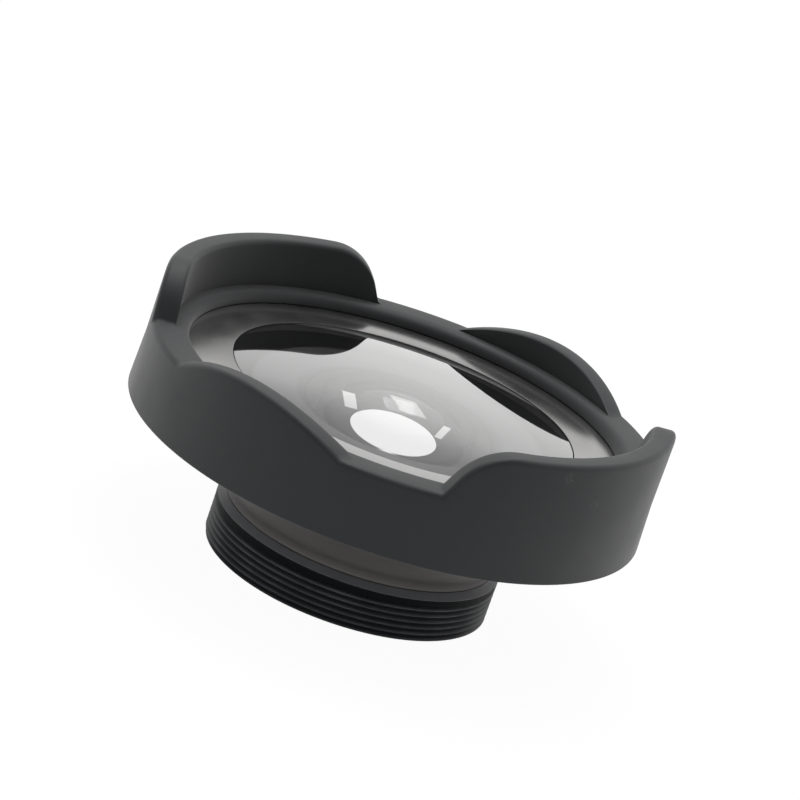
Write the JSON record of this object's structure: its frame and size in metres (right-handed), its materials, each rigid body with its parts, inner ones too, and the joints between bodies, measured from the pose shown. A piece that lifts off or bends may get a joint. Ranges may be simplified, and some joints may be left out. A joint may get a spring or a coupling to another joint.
{
  "type": "phone wide-angle lens",
  "caption": "Screw-on wide-angle lens for a phone case, with a flared black barrel, a large flat front glass, a cemented rear group and a push-on petal hood.",
  "frame": {"origin": "centre of the rear face, which is the end of the mount thread", "axes": "+Z along the optical axis, towards the front glass; +X and +Y across it"},
  "size_m": [0.0406, 0.0406, 0.0192],
  "materials": {
    "soft_touch": "soft-touch matte black",
    "rubber": "smooth moulded rubber",
    "barrel_anodised": "bead-blasted, black anodised, satin",
    "bezel_anodised": "turned, dark anodised, smooth satin",
    "coated_glass": "polished, coated",
    "black_film": "matte black film",
    "inner_anodised": "matte black anodised",
    "bare_shim": "rolled foil",
    "thread_anodised": "turned thread, black anodised"
  },
  "bodies": {
    "barrel": {"main_barrel": "barrel_anodised", "front_retaining_ring": "bezel_anodised", "front_seal_ring": "rubber", "front_element": "coated_glass", "front_seat_washer": "black_film", "cell_lock_ring": "inner_anodised", "cell_shim": "bare_shim", "lens_cell": "inner_anodised", "dome_retaining_ring": "inner_anodised", "second_element": "coated_glass", "doublet_crown": "coated_glass", "doublet_flint": "coated_glass", "stop_washer": "black_film", "rear_spacer": "inner_anodised", "rear_element": "coated_glass", "rear_retaining_ring": "inner_anodised", "mount_thread_ring": "thread_anodised"},
    "friction_ring": {"hood_friction_ring": "rubber"},
    "hood": {"petal_hood": "soft_touch"}
  },
  "joints": [
    {"name": "hood_turn", "type": "hinge", "parent": "barrel", "child": "friction_ring", "pos_m": [0, 0, 0.0115], "axis": [0, 0, 1], "continuous": true},
    {"name": "hood_pull", "type": "slide", "parent": "friction_ring", "child": "hood", "axis": [0, 0, 1], "range_m": [0, 0.012]}
  ]
}
